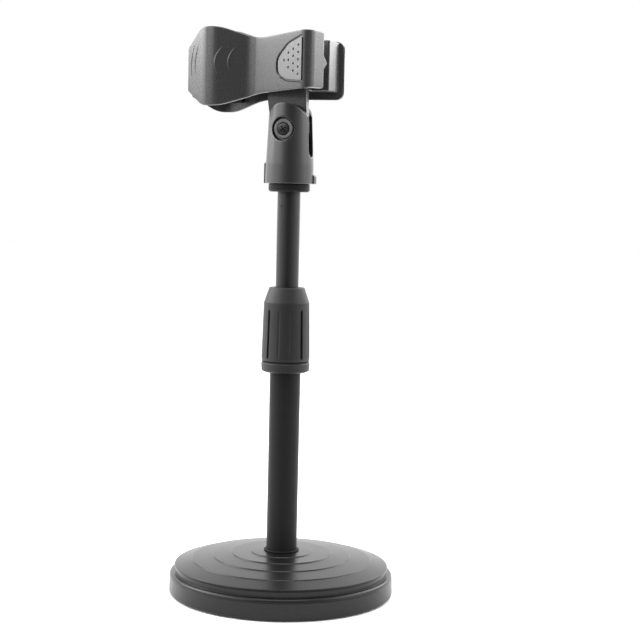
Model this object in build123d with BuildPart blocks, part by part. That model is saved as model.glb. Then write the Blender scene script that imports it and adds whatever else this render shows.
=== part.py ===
"""Desktop microphone stand: round weighted base, two-stage pole with a twist clutch, and a
spring clip that tilts in a fork.  Millimetres, +Z up, origin on the ground on the pole's axis.
The clip lies along X with its jaws at -X and its handles at +X; its tilt screw lies along Y."""
import os
from math import atan2, cos, degrees, radians, sin

from build123d import *

# ---------------------------------------------------------------- driving dimensions
# base
base_radius = 70.0
base_wall_foot = 0.6
base_wall_top = 11.5
shoulder_radius = 66.4
shoulder_height = 14.2
plate_radius = 66.8
plate_edge_height = 18.2
ring_radii = [19.0, 31.0, 43.0, 56.0]
ring_heights = [26.5, 25.6, 23.9, 21.7]
ring_step = 0.7
crown_height = 26.8
cover_wall = 2.0
collar_radius = 11.0
collar_top = 27.8
foot_ring_height = 1.0
base_plate_top = 2.4
weight_radius = 63.5
weight_top = 12.0
hub_radius = 16.0
hub_top = 20.0
screw_circle = 50.0
screw_count = 4
counterbore_radius = 10.5
counterbore_depth = 7.0
bolt_radius = 4.0
bolt_top = 32.0
bolt_head_size = 7.5
bolt_head_height = 5.0
washer_thickness = 1.6
screw_shank = 1.35
screw_head = 2.75
screw_head_depth = 1.4
screw_length = 6.0
screw_recess = (3.2, 0.7)
foot_ring_edges = (66.0, 58.0)

# pole
lower_tube_radius = 9.55
lower_tube_wall = 1.2
lower_tube_bottom = hub_top
lower_tube_top = 152.0
upper_tube_radius = 7.1
upper_tube_wall = 1.0
upper_tube_bottom = 102.0
upper_tube_top = 251.2
plug_top = 38.0
bush_length = 14.0
running_gap = 0.08

# twist clutch
clutch_bottom = 139.6
clutch_ring_radius = 15.1
clutch_ring_top = 145.7
nut_bottom = 146.7
nut_top = 192.3
nut_cone_bottom = 182.8
nut_foot_radius = 14.95
nut_shoulder_radius = 14.1
nut_mouth_radius = 10.9
sleeve_radius = 10.7
sleeve_top = 170.0
collet_top = 181.0
collet_bottom = 163.0
collet_foot_radius = 7.75
collet_shoulder_radius = 9.45
collet_mouth_radius = 8.4
thread_turns = 8
thread_pitch = 2.4
grip_angle = 64.0
grip_grooves = 4
deep_groove = (1.1, 1.9)
shallow_groove = (0.9, 0.75)

# adapter and fork
flange_radius = 12.75
fork_bottom = 256.3
stud_radius = 7.9
stud_top = 268.0
fork_foot_radius = 14.8
fork_top_radius = 13.0
fork_arch_radius = 14.2
screw_height = 289.4
fork_arch_height = screw_height + 1.7
slot_bottom = 272.6
slot_height = 60.0
slot_width = 6.2
tongue_thickness = 5.0
tongue_radius = 12.0
spot_face_depth = 10.0
spot_face_radius = 7.2
screw_radius = 2.0
screw_head_radius = 3.8
low_stop_reach = 15.6
low_stop_height = 5.6
low_stop_width = 4.2
low_stop_offset = 4.1
high_stop_reach = 16.6
high_stop_height = 12.8
high_stop_width = 3.2
insert_radius = 10.0
insert_top = stud_top + 1.0
washer_ring_radius = 6.1
washer_ring_height = 1.4
head_height = 1.9
nut_size = 4.15
nut_height = 3.0
cross_recess = (4.6, 0.9)
cross_turn = 35
disc_radius = 9.0
lock_height = 242.5
lock_turn = radians(-15)
lock_radius = 1.05
lock_depth = 3.4
adapter_bore = 3.0
spigot_length = 16.0

# clip
arm_wall = 2.6
tip = (-69.4, 3.0)
crest = (-49.3, 17.0)
waist = (-23.2, 8.0)
fold_start = (18.3, 26.3)
fold_end = (22.9, 24.0)
wall_end = (24.8, 9.0)
panel_end_x = 23.8
near_radii = [13.0, 11.0, 5.0, 5.0]
far_radii = [13.0, 11.0]
near_corner = 6.0
far_corner = 4.5
hinge_x = -19.0
hinge_pin_radius = 1.5
hinge_pin_bottom = 311.8
hinge_pin_top = 344.2
knuckle_radius = 4.0
knuckle_web = 6.8
far_knuckles = [(313.6, 319.0), (336.9, 343.0)]
near_knuckles = [(319.4, 323.2), (332.8, 336.5)]
seat_x = -46.5
seat_radius = 12.0
block_front = 7.5
block_start_x = -9.0
block_end_x = 21.6
block_bottom = 313.6
block_top = 344.4
boss_front = -2.5
boss_back = 13.0
boss_start_x = -12.3
boss_end_x = 10.8
boss_top = 318.6
neck_start_x = -14.8
neck_bottom = 309.0
handle_angle = degrees(atan2(fold_start[1] - waist[1], fold_start[0] - waist[0]))
handle_slope = (fold_start[1] - waist[1]) / (fold_start[0] - waist[0])
clip_middle = 328.0
pad_recess = 1.0
pad_gap = 1.1
pad_drop = 0.2
dimple_radius = 0.55
dimple_pitch = 4.3
dimple_lift = 1.9
dimple_depth = 0.6

os.makedirs("parts", exist_ok=True)


def save(piece, name):
    """Label a finished piece and write its STEP file."""
    piece.part.label = name
    export_step(piece.part, f"parts/{name}.step")


def tube(piece_bottom, piece_top, outer, inner):
    """Half section of a plain tube about Z, for revolving."""
    with Locations(((outer + inner) / 2, (piece_bottom + piece_top) / 2)):
        Rectangle(outer - inner, piece_top - piece_bottom)


# ================================================================ base
# ---- domed cover with stepped rings, a shoulder and an upright wall
outer_profile = [(base_radius, base_wall_foot), (base_radius, base_wall_top)]
outer_profile += [(base_radius - 0.5, base_wall_top + 0.3)]
crown_profile = [(shoulder_radius, shoulder_height), (shoulder_radius, plate_edge_height - 1.2)]
crown_profile += [(plate_radius, plate_edge_height - 0.7), (plate_radius - 0.4, plate_edge_height)]
for radius, height in zip(reversed(ring_radii), reversed(ring_heights)):
    crown_profile += [(radius + 0.5, height - ring_step), (radius, height)]
crown_profile += [(collar_radius - 0.9, crown_height)]
inner_profile = [(collar_radius - 0.9, crown_height - cover_wall)]
for radius, height in zip(ring_radii, ring_heights):
    inner_profile += [(radius, height - ring_step - cover_wall)]
inner_profile += [(shoulder_radius - cover_wall, plate_edge_height - cover_wall - 0.6)]
inner_profile += [(shoulder_radius - cover_wall, shoulder_height - 1.6)]
inner_profile += [(base_radius - cover_wall, base_wall_top - 1.0)]
inner_profile += [(base_radius - cover_wall, base_wall_foot)]

with BuildPart() as base_cover:
    with BuildSketch(Plane.XZ):
        with BuildLine():
            Polyline(*outer_profile)
            ThreePointArc(
                outer_profile[-1], (base_radius - 1.3, shoulder_height - 0.75), crown_profile[0]
            )
            Polyline(*crown_profile, *inner_profile, outer_profile[0])
        make_face()
    revolve(axis=Axis.Z)
save(base_cover, "base_cover")

# ---- cast iron weight with a raised hub, bored for the centre bolt
with BuildPart() as base_weight:
    with BuildSketch(Plane.XY.offset(base_plate_top)):
        Circle(weight_radius)
    extrude(amount=weight_top - base_plate_top)
    with BuildSketch(Plane.XY.offset(weight_top)):
        Circle(hub_radius)
    extrude(amount=hub_top - weight_top)
    fillet(base_weight.edges().filter_by(GeomType.CIRCLE).sort_by(Axis.Z)[-1], 2.0)
    with Locations(Plane.XY.offset(base_plate_top)):
        Cylinder(bolt_radius + 0.1, hub_top - base_plate_top,
                 align=(Align.CENTER, Align.CENTER, Align.MIN), mode=Mode.SUBTRACT)
        Cylinder(counterbore_radius, counterbore_depth,
                 align=(Align.CENTER, Align.CENTER, Align.MIN), mode=Mode.SUBTRACT)
        with PolarLocations(screw_circle, screw_count, start_angle=45):
            Cylinder(screw_shank + 0.1, screw_length + 0.5,
                     align=(Align.CENTER, Align.CENTER, Align.MIN), mode=Mode.SUBTRACT)
save(base_weight, "base_weight")

# ---- bottom plate that closes the cover, with screw holes and a hole for the bolt head
with BuildPart() as base_plate:
    with BuildSketch(Plane.XY.offset(foot_ring_height)):
        Circle(base_radius - cover_wall - 0.3)
        Circle(counterbore_radius, mode=Mode.SUBTRACT)
    extrude(amount=base_plate_top - foot_ring_height)
    with Locations(Plane(origin=(0, 0, foot_ring_height), z_dir=(0, 0, -1))):
        with PolarLocations(screw_circle, screw_count, start_angle=45):
            CounterSinkHole(radius=1.6, counter_sink_radius=3.0)
save(base_plate, "base_plate")

# ---- soft foot ring that the stand rests on
with BuildPart() as foot_ring:
    with BuildSketch():
        Circle(foot_ring_edges[0])
        Circle(foot_ring_edges[1], mode=Mode.SUBTRACT)
    extrude(amount=foot_ring_height)
    fillet(foot_ring.edges().group_by(Axis.Z)[0], 0.35)
save(foot_ring, "foot_ring")

# ---- countersunk screws that hold the bottom plate to the weight
with BuildPart() as base_screws:
    with PolarLocations(screw_circle, screw_count, start_angle=45):
        with Locations((0, 0, foot_ring_height)):
            Cone(screw_head, screw_shank, screw_head_depth,
                 align=(Align.CENTER, Align.CENTER, Align.MIN))
        with Locations((0, 0, foot_ring_height + screw_head_depth)):
            Cylinder(screw_shank, screw_length, align=(Align.CENTER, Align.CENTER, Align.MIN))
        with Locations((0, 0, foot_ring_height)):
            for turn in (0, 90):
                Box(screw_recess[0], screw_recess[1], screw_recess[1], rotation=(0, 0, turn),
                    align=(Align.CENTER, Align.CENTER, Align.MIN), mode=Mode.SUBTRACT)
save(base_screws, "base_screws")

# ---- centre bolt and its washer, in the weight's counterbore
bolt_seat = base_plate_top + counterbore_depth
with BuildPart() as base_washer:
    with BuildSketch(Plane.XY.offset(bolt_seat - washer_thickness)):
        Circle(counterbore_radius - 1.5)
        Circle(bolt_radius + 0.2, mode=Mode.SUBTRACT)
    extrude(amount=washer_thickness)
    chamfer(base_washer.edges().group_by(Axis.Z)[0].sort_by(SortBy.RADIUS)[-1], 0.4)
save(base_washer, "base_washer")

with BuildPart() as base_bolt:
    with BuildSketch(Plane.XY.offset(bolt_seat - washer_thickness - bolt_head_height)):
        RegularPolygon(bolt_head_size, 6)
    extrude(amount=bolt_head_height)
    with BuildSketch(Plane.XY.offset(bolt_seat - washer_thickness)):
        Circle(bolt_radius)
    extrude(amount=bolt_top - bolt_seat + washer_thickness)
    chamfer(base_bolt.edges().group_by(Axis.Z)[-1], 0.6)
save(base_bolt, "base_bolt")

# ---- soft collar where the pole leaves the cover
with BuildPart() as pole_collar:
    with BuildSketch(Plane.XZ):
        tube(crown_height - cover_wall, crown_height, collar_radius - 0.95, lower_tube_radius + 0.02)
        tube(crown_height, collar_top, collar_radius, lower_tube_radius + 0.02)
    revolve(axis=Axis.Z)
    fillet(pole_collar.edges().group_by(Axis.Z)[-1].sort_by(SortBy.RADIUS)[-1], 0.5)
save(pole_collar, "pole_collar")

# ================================================================ lower pole
with BuildPart() as lower_tube:
    with BuildSketch(Plane.XZ):
        tube(lower_tube_bottom, lower_tube_top, lower_tube_radius,
             lower_tube_radius - lower_tube_wall)
    revolve(axis=Axis.Z)
save(lower_tube, "lower_tube")

# ---- threaded plug pressed into the tube's foot
with BuildPart() as foot_plug:
    with BuildSketch(Plane.XZ):
        tube(lower_tube_bottom, plug_top, lower_tube_radius - lower_tube_wall, bolt_radius + 0.05)
    revolve(axis=Axis.Z)
    chamfer(foot_plug.edges().group_by(Axis.Z)[-1], 0.6)
save(foot_plug, "foot_plug")

# ================================================================ twist clutch
# ---- threaded body: bottom ring, hub over the tube, thread sleeve and a conical mouth
tube_bore = lower_tube_radius - lower_tube_wall
with BuildPart() as clutch_body:
    with BuildSketch(Plane.XZ):
        with BuildLine():
            Polyline(
                (lower_tube_radius, clutch_bottom),
                (clutch_ring_radius - 2.2, clutch_bottom),
                (clutch_ring_radius - 0.35, clutch_bottom + 0.9),
                (clutch_ring_radius, clutch_ring_top - 0.5),
                (clutch_ring_radius - 0.5, clutch_ring_top),
                (sleeve_radius, clutch_ring_top),
                (sleeve_radius, sleeve_top),
                (sleeve_radius - 0.8, sleeve_top + 0.8),
                (sleeve_radius - 1.0, sleeve_top + 0.8),
                (tube_bore, lower_tube_top + 10.0),
                (tube_bore, lower_tube_top),
                (lower_tube_radius, lower_tube_top),
                close=True,
            )
        make_face()
    revolve(axis=Axis.Z)
    for turn in range(thread_turns):
        with BuildSketch(Plane.XZ):
            with Locations((sleeve_radius, clutch_ring_top + 4.0 + turn * thread_pitch)):
                Rectangle(0.8, 1.0)
        revolve(axis=Axis.Z, mode=Mode.SUBTRACT)
save(clutch_body, "clutch_body")

# ---- thin washer between the fixed ring and the turning grip
with BuildPart() as clutch_washer:
    with BuildSketch(Plane.XZ):
        tube(clutch_ring_top, nut_bottom - 0.15, clutch_ring_radius - 0.5, sleeve_radius + 0.3)
    revolve(axis=Axis.Z)
save(clutch_washer, "clutch_washer")

# ---- split collet that grips the upper tube
with BuildPart() as clutch_collet:
    with BuildSketch(Plane.XZ):
        with BuildLine():
            Polyline(
                (upper_tube_radius + running_gap, collet_bottom),
                (collet_foot_radius, collet_bottom),
                (collet_shoulder_radius, sleeve_top + 1.2),
                (collet_shoulder_radius, sleeve_top + 2.5),
                (collet_mouth_radius, collet_top),
                (upper_tube_radius + running_gap, collet_top),
                close=True,
            )
        make_face()
    revolve(axis=Axis.Z)
    with Locations((8.5, 0, collet_bottom)):
        Box(6.0, 1.2, 40.0, mode=Mode.SUBTRACT)
save(clutch_collet, "clutch_collet")

# ---- grip nut: cone over a slightly flared barrel with narrow grooves
with BuildPart() as clutch_nut:
    with BuildSketch(Plane.XZ):
        with BuildLine():
            Polyline(
                (upper_tube_radius + 0.45, nut_top),
                (nut_mouth_radius, nut_top),
                (nut_shoulder_radius, nut_cone_bottom),
                (nut_foot_radius, nut_bottom + 1.6),
                (nut_foot_radius - 0.25, nut_bottom),
                (sleeve_radius + 0.35, nut_bottom),
                (sleeve_radius + 0.35, sleeve_top + 4.5),
                (9.2, collet_top + 1.5),
                (upper_tube_radius + 0.45, collet_top + 1.5),
                close=True,
            )
        make_face()
    revolve(axis=Axis.Z)
    fillet(clutch_nut.edges().filter_by(GeomType.CIRCLE).group_by(Axis.Z)[-1].sort_by(
        SortBy.RADIUS)[-1], 0.8)
    groove_bottom = nut_bottom + 1.9
    groove_length = nut_cone_bottom - 4.4 - groove_bottom
    for index in range(grip_grooves * 3):
        angle = radians(grip_angle + index * 120.0 / grip_grooves)
        deep = index % 3 == 0
        width, depth = deep_groove if deep else shallow_groove
        face = Plane(
            origin=(nut_foot_radius * cos(angle), nut_foot_radius * sin(angle),
                    groove_bottom + groove_length / 2),
            x_dir=(0, 0, 1),
            z_dir=(cos(angle), sin(angle), 0),
        )
        with BuildSketch(face):
            SlotOverall(groove_length if deep else groove_length - 1.0, width)
        extrude(amount=-depth, mode=Mode.SUBTRACT)
save(clutch_nut, "clutch_nut")

# ================================================================ upper pole
lock_axis = Plane(origin=(0, 0, lock_height), z_dir=(sin(lock_turn), -cos(lock_turn), 0))
with BuildPart() as upper_tube:
    with BuildSketch(Plane.XZ):
        tube(upper_tube_bottom, upper_tube_top, upper_tube_radius,
             upper_tube_radius - upper_tube_wall)
    revolve(axis=Axis.Z)
    with Locations(lock_axis):
        Cylinder(lock_radius, 20, align=(Align.CENTER, Align.CENTER, Align.MIN), mode=Mode.SUBTRACT)
save(upper_tube, "upper_tube")

# ---- guide bush that slides in the lower tube, the cap below it and the ring above it
with BuildPart() as guide_bush:
    with BuildSketch(Plane.XZ):
        tube(upper_tube_bottom + 0.3, upper_tube_bottom + bush_length,
             tube_bore - running_gap, upper_tube_radius + running_gap)
    revolve(axis=Axis.Z)
save(guide_bush, "guide_bush")

with BuildPart() as tube_cap:
    with BuildSketch(Plane.XZ):
        tube(upper_tube_bottom - 2.0, upper_tube_bottom, tube_bore - 0.35, adapter_bore)
        tube(upper_tube_bottom, upper_tube_bottom + 10.0,
             upper_tube_radius - upper_tube_wall, adapter_bore)
    revolve(axis=Axis.Z)
save(tube_cap, "tube_cap")

with BuildPart() as bush_ring:
    with BuildSketch(Plane.XZ):
        tube(upper_tube_bottom + bush_length + 0.3, upper_tube_bottom + bush_length + 1.5,
             tube_bore - 0.35, upper_tube_radius)
    revolve(axis=Axis.Z)
    with Locations((upper_tube_radius, 0, upper_tube_bottom + bush_length)):
        Box(4.0, 3.0, 6.0, mode=Mode.SUBTRACT)
save(bush_ring, "bush_ring")

# ---- adapter pressed into the tube: spigot, flange and threaded stud
with BuildPart() as stud_adapter:
    with BuildSketch(Plane.XZ):
        with BuildLine():
            Polyline(
                (adapter_bore, upper_tube_top - spigot_length),
                (upper_tube_radius - upper_tube_wall, upper_tube_top - spigot_length),
                (upper_tube_radius - upper_tube_wall, upper_tube_top),
                (flange_radius - 0.9, upper_tube_top),
                (flange_radius, upper_tube_top + 1.0),
                (flange_radius, fork_bottom - 0.4),
                (flange_radius - 0.4, fork_bottom),
                (stud_radius, fork_bottom),
                (stud_radius, stud_top - 0.8),
                (stud_radius - 0.8, stud_top),
                (adapter_bore, stud_top),
                close=True,
            )
        make_face()
    revolve(axis=Axis.Z)
    with Locations(lock_axis):
        Cylinder(lock_radius, 20, align=(Align.CENTER, Align.CENTER, Align.MIN), mode=Mode.SUBTRACT)
save(stud_adapter, "stud_adapter")

# ---- set screw that locks the adapter in the tube
with BuildPart() as set_screw:
    with BuildSketch(lock_axis.offset(lock_depth)):
        Circle(lock_radius - 0.05)
    extrude(amount=upper_tube_radius - lock_depth - 0.05)
save(set_screw, "set_screw")

# ================================================================ fork
# ---- tapered barrel with an arched top, a slot for the tongue and two small stops
screw_plane = Plane(origin=(0, 0, screw_height), x_dir=(1, 0, 0), z_dir=(0, -1, 0))
with BuildPart() as fork:
    with BuildSketch(Plane.XZ):
        with BuildLine():
            Polyline(
                (0, fork_bottom),
                (fork_foot_radius - 0.4, fork_bottom),
                (fork_foot_radius, fork_bottom + 0.4),
                (fork_foot_radius - 0.1, fork_bottom + 12.0),
                (fork_top_radius, fork_arch_height + fork_arch_radius),
                (0, fork_arch_height + fork_arch_radius),
                close=True,
            )
        make_face()
    revolve(axis=Axis.Z)
    for reach, height, width, aside in (
        (-high_stop_reach, high_stop_height, high_stop_width, 0),
        (low_stop_reach, low_stop_height, low_stop_width, low_stop_offset),
    ):
        with BuildSketch(Plane.XY.offset(fork_bottom)):
            with Locations((reach * 0.8, aside)):
                Rectangle(abs(reach) * 0.4, width)
        extrude(amount=height)
    with BuildSketch(Plane.XZ):
        with Locations((0, fork_arch_height)):
            Circle(fork_arch_radius)
        with Locations((0, (fork_bottom + fork_arch_height) / 2)):
            Rectangle(2 * high_stop_reach, fork_arch_height - fork_bottom)
    extrude(amount=30, both=True, mode=Mode.INTERSECT)
    fillet(fork.edges().filter_by(Axis.Y).filter_by(
        lambda edge: abs(edge.center().X) > low_stop_reach - 0.01
        and edge.center().Z > fork_bottom + 1.0), 0.9)
    with BuildSketch(Plane.YZ):
        with Locations((0, slot_bottom + slot_height / 2)):
            SlotOverall(slot_height, slot_width, rotation=90)
    extrude(amount=2 * fork_foot_radius, both=True, mode=Mode.SUBTRACT)
    with Locations((0, 0, fork_bottom)):
        Cylinder(insert_radius, insert_top - fork_bottom,
                 align=(Align.CENTER, Align.CENTER, Align.MIN), mode=Mode.SUBTRACT)
    with BuildSketch(screw_plane):
        Circle(screw_radius + 0.1)
    extrude(amount=30, both=True, mode=Mode.SUBTRACT)
    with BuildSketch(screw_plane.offset(spot_face_depth)):
        Circle(spot_face_radius)
    extrude(amount=10, mode=Mode.SUBTRACT)
    fillet(fork.edges().filter_by(
        lambda edge: edge.bounding_box().max.Y < -spot_face_depth - 0.5
        and abs(edge.bounding_box().size.X - 2 * spot_face_radius) < 0.1), 0.6)
    with BuildSketch(screw_plane.offset(-spot_face_depth)):
        RegularPolygon(nut_size, 6)
    extrude(amount=-10, mode=Mode.SUBTRACT)
save(fork, "fork")

# ---- brass thread insert moulded into the fork's foot
with BuildPart() as thread_insert:
    with BuildSketch(Plane.XZ):
        tube(fork_bottom, insert_top, insert_radius, stud_radius + 0.05)
    revolve(axis=Axis.Z)
save(thread_insert, "thread_insert")

# ---- tilt screw with a cross-recess head, its washer and its nut
with BuildPart() as tilt_screw:
    with BuildSketch(screw_plane.offset(spot_face_depth)):
        Circle(screw_head_radius)
    extrude(amount=head_height)
    fillet(tilt_screw.edges().group_by(Axis.Y)[0], 0.7)
    with BuildSketch(screw_plane.offset(spot_face_depth)):
        Circle(screw_radius)
    extrude(amount=-2 * spot_face_depth - nut_height)
    with BuildSketch(screw_plane.offset(spot_face_depth + head_height)):
        Rectangle(*cross_recess, rotation=cross_turn)
        Rectangle(*cross_recess, rotation=cross_turn + 90)
    extrude(amount=-1.3, mode=Mode.SUBTRACT)
save(tilt_screw, "tilt_screw")

with BuildPart() as screw_washer:
    with BuildSketch(screw_plane.offset(spot_face_depth)):
        Circle(washer_ring_radius)
        Circle(screw_head_radius + 0.1, mode=Mode.SUBTRACT)
    extrude(amount=washer_ring_height)
    fillet(screw_washer.edges().group_by(Axis.Y)[0], 0.35)
save(screw_washer, "screw_washer")

with BuildPart() as tilt_nut:
    with BuildSketch(screw_plane.offset(-spot_face_depth)):
        RegularPolygon(nut_size - 0.1, 6)
        Circle(screw_radius + 0.02, mode=Mode.SUBTRACT)
    extrude(amount=-nut_height)
save(tilt_nut, "tilt_nut")

# ---- friction discs each side of the tongue
disc_thickness = (slot_width - tongue_thickness) / 2 - 0.08
with BuildPart() as friction_discs:
    for side in (-1, 1):
        with BuildSketch(screw_plane.offset(side * (slot_width / 2 - disc_thickness))):
            Circle(disc_radius)
            Circle(screw_radius + 0.1, mode=Mode.SUBTRACT)
        extrude(amount=side * disc_thickness)
save(friction_discs, "friction_discs")

# ================================================================ clip
def arm_plan(points, radii, side):
    """Strip of an arm's wall in plan, one wall thick inwards from its outer line."""
    with BuildSketch(Plane.XY.offset(arm_plan_height)) as plan:
        with BuildLine():
            outer = FilletPolyline(*[(x, side * y) for x, y in points], radius=radii)
            offset(outer, amount=arm_wall, side=Side.LEFT if side < 0 else Side.RIGHT)
        make_face()
    return plan.sketch


def arm_elevation(top, bottom, radii):
    """Side outline of an arm, closed between its tip and its handle end."""
    with BuildSketch(Plane.XZ) as outline:
        with BuildLine():
            upper = FilletPolyline(*top, radius=radii)
            lower = FilletPolyline(*bottom, radius=radii)
            Line(upper @ 0, lower @ 0)
            Line(upper @ 1, lower @ 1)
        make_face()
    return outline.sketch


def knuckle(side, height):
    """Section of a hinge knuckle with a web to the arm on its own side."""
    with BuildSketch(Plane.XY.offset(height)) as section:
        with Locations((hinge_x, 0)):
            Circle(knuckle_radius)
        with Locations((hinge_x, side * knuckle_web / 2)):
            Rectangle(5.0, knuckle_web)
    return section.sketch


def handle_plane(side, depth):
    """Plane on a handle's outer face, sunk by depth; local x runs along the handle."""
    slope = radians(side * handle_angle)
    normal = Vector(-side * sin(slope), side * cos(slope), 0)
    start = Vector(fold_start[0], side * fold_start[1], clip_middle)
    return Plane(origin=start - normal * depth, x_dir=(cos(slope), sin(slope), 0), z_dir=normal)


def pad_outline(side, depth, gap):
    """D-shaped outline of a grip pad, drawn inside by gap; its straight side is at the fold."""
    points = [(-0.9, 17.0), (-14.0, 12.3), (-23.9, 3.5), (-23.2, -6.6), (-15.5, -10.4)]
    points += [(-0.9, -11.8)]
    with BuildSketch(handle_plane(side, depth)) as outline:
        with BuildLine():
            FilletPolyline(*[(x, -side * y) for x, y in points],
                           radius=[2.0, 14.0, 9.0, 7.0, 8.0, 1.5], close=True)
        make_face()
        if gap:
            offset(amount=-gap, mode=Mode.REPLACE)
    return outline.sketch


arm_plan_height = 290.0
arm_plan_depth = 70.0
arm_reach = 60.0
jaw_top = [(-69.8, 329), (-69.6, 339.0), (-55.5, 351.7), (-42.5, 351.7), (-19.0, 344.2)]
jaw_bottom = [(-69.8, 323), (-69.6, 313.4), (-54.5, 303.4), (-42.5, 303.4), (-19.0, 310.9)]
jaw_radii = [2.5, 12, 34, 40]

# ---- fixed arm: far jaw, handle panel with an inner block, hinge knuckles and the tilt tongue
far_plan = [tip, crest, waist, (panel_end_x, waist[1] + (panel_end_x - waist[0]) * handle_slope)]
panel_edge_x = panel_end_x + 0.4
far_top = jaw_top + [(panel_edge_x, 345.2), (panel_edge_x, 335.0)]
far_bottom = [(x, z - 2.7) for x, z in jaw_bottom] + [(panel_edge_x, 309.1), (panel_edge_x, 322.0)]
block_root = waist[1] + (block_end_x - waist[0]) * handle_slope - 1.5
open_root = waist[1] + (block_start_x - waist[0]) * handle_slope - 1.5
boss_middle = ((boss_start_x + boss_end_x) / 2, (boss_front + boss_back) / 2)
with BuildPart() as fixed_arm:
    extrude(arm_plan(far_plan, far_radii, 1), amount=arm_plan_depth)
    extrude(arm_elevation(far_top, far_bottom, jaw_radii + [far_corner]), amount=arm_reach,
            both=True, mode=Mode.INTERSECT)
    for low, high in far_knuckles:
        extrude(knuckle(1, low), amount=high - low)
    with BuildSketch(Plane.XY.offset(block_bottom)):
        with BuildLine():
            Polyline((block_start_x, block_front), (block_end_x, block_front),
                     (block_end_x, block_root), (block_start_x, open_root), close=True)
        make_face()
    extrude(amount=block_top - block_bottom)
    with BuildSketch(Plane.XY.offset(block_bottom)):
        with Locations(boss_middle):
            Rectangle(boss_end_x - boss_start_x, boss_back - boss_front)
    extrude(amount=boss_top - block_bottom)
    with BuildSketch(Plane.XZ):
        with Locations((0, screw_height)):
            Circle(tongue_radius)
        with BuildLine():
            Polyline((-tongue_radius, screw_height), (tongue_radius, screw_height),
                     (boss_end_x, neck_bottom), (boss_end_x, boss_top), (neck_start_x, boss_top),
                     (neck_start_x, neck_bottom), close=True)
        make_face()
    extrude(amount=tongue_thickness / 2, both=True)
    with BuildSketch(screw_plane):
        Circle(screw_radius + 0.1)
    extrude(amount=30, both=True, mode=Mode.SUBTRACT)
    with Locations((hinge_x, 0, clip_middle)):
        Cylinder(hinge_pin_radius + 0.03, 80, mode=Mode.SUBTRACT)
    extrude(pad_outline(1, pad_recess, 0), amount=4, mode=Mode.SUBTRACT)
save(fixed_arm, "fixed_arm")

# ---- moving arm: near jaw, handle that folds round into an end wall with a small pointed tab
near_plan = [tip, crest, waist, fold_start, fold_end, wall_end]
near_top = jaw_top + [(18.3, 347.4), (26.5, 347.2)]
near_bottom = jaw_bottom + [(18.0, 312.6), (26.5, 314.4)]
tab_height = 329.0
tab_half_height = 4.6
tab_reach = 4.0
tab_thickness = 1.6
tab_slope = atan2(fold_end[1] - wall_end[1], wall_end[0] - fold_end[0])
tab_face = Plane(origin=(wall_end[0], -wall_end[1], tab_height),
                 x_dir=(cos(tab_slope), sin(tab_slope), 0),
                 z_dir=(sin(tab_slope), -cos(tab_slope), 0))
with BuildPart() as moving_arm:
    extrude(arm_plan(near_plan, near_radii, -1), amount=arm_plan_depth)
    extrude(arm_elevation(near_top, near_bottom, jaw_radii + [near_corner]), amount=arm_reach,
            both=True, mode=Mode.INTERSECT)
    for low, high in near_knuckles:
        extrude(knuckle(-1, low), amount=high - low)
    with Locations((hinge_x, 0, clip_middle)):
        Cylinder(hinge_pin_radius + 0.08, 80, mode=Mode.SUBTRACT)
    extrude(pad_outline(-1, pad_recess, 0), amount=4, mode=Mode.SUBTRACT)
    with BuildSketch(tab_face):
        with BuildLine():
            Polyline((-1.0, -tab_half_height), (tab_reach, 0), (-1.0, tab_half_height), close=True)
        make_face()
    extrude(amount=-tab_thickness)
save(moving_arm, "moving_arm")

# ---- grip pads set into both handles, with a triangle of small dimples
dimple_columns = [(-4.9, 5), (-9.1, 4), (-13.3, 3), (-16.9, 1)]
for side, name in ((-1, "thumb_pad"), (1, "finger_pad")):
    with BuildPart() as grip_pad:
        extrude(pad_outline(side, pad_recess, pad_gap), amount=pad_recess - pad_drop)
        with BuildSketch(handle_plane(side, pad_drop)):
            for column, count in dimple_columns:
                with Locations((column, -side * dimple_lift)):
                    with GridLocations(1, dimple_pitch, 1, count):
                        Circle(dimple_radius)
        extrude(amount=-dimple_depth, mode=Mode.SUBTRACT)
    save(grip_pad, name)

# ---- hinge pin with a head, and the push-on clip at its foot
with BuildPart() as hinge_pin:
    with BuildSketch(Plane.XZ):
        with BuildLine():
            Polyline((0, hinge_pin_bottom), (hinge_pin_radius, hinge_pin_bottom),
                     (hinge_pin_radius, hinge_pin_top - 1.1), (2.6, hinge_pin_top - 1.1),
                     (2.2, hinge_pin_top), (0, hinge_pin_top), close=True)
        make_face()
    revolve(axis=Axis.Z)
with BuildPart() as hinge_pin_placed:
    add(hinge_pin.part.moved(Location((hinge_x, 0, 0))))
save(hinge_pin_placed, "hinge_pin")

with BuildPart() as pin_clip:
    with BuildSketch(Plane.XY.offset(hinge_pin_bottom + 0.8)):
        with Locations((hinge_x, 0)):
            Circle(3.2)
            Circle(hinge_pin_radius, mode=Mode.SUBTRACT)
    extrude(amount=0.8)
save(pin_clip, "pin_clip")

# ---- torsion spring: coil with its fixed leg, and the leg that follows the moving arm
wire_radius = 0.6
coil_radius = 3.2
coil_bottom = 324.4
coil_turns = 5
coil_pitch = 1.35
leg_slope = radians(31.8)
leg_length = 13.0


def leg_section(side, height):
    """Wire section where a straight leg leaves the coil on a tangent towards one handle."""
    start = (hinge_x - coil_radius * sin(leg_slope), side * coil_radius * cos(leg_slope), height)
    with BuildSketch(Plane(origin=start, z_dir=(cos(leg_slope), side * sin(leg_slope), 0))) as wire:
        Circle(wire_radius)
    return wire.sketch


with BuildPart() as torsion_spring:
    with BuildLine():
        coil = Helix(coil_pitch, coil_pitch * coil_turns, coil_radius,
                     center=(hinge_x, 0, coil_bottom))
    with BuildSketch(Plane(origin=coil @ 0, z_dir=coil % 0)):
        Circle(wire_radius)
    sweep()
    extrude(leg_section(1, coil_bottom + 0.5), amount=leg_length)
save(torsion_spring, "torsion_spring")

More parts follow.
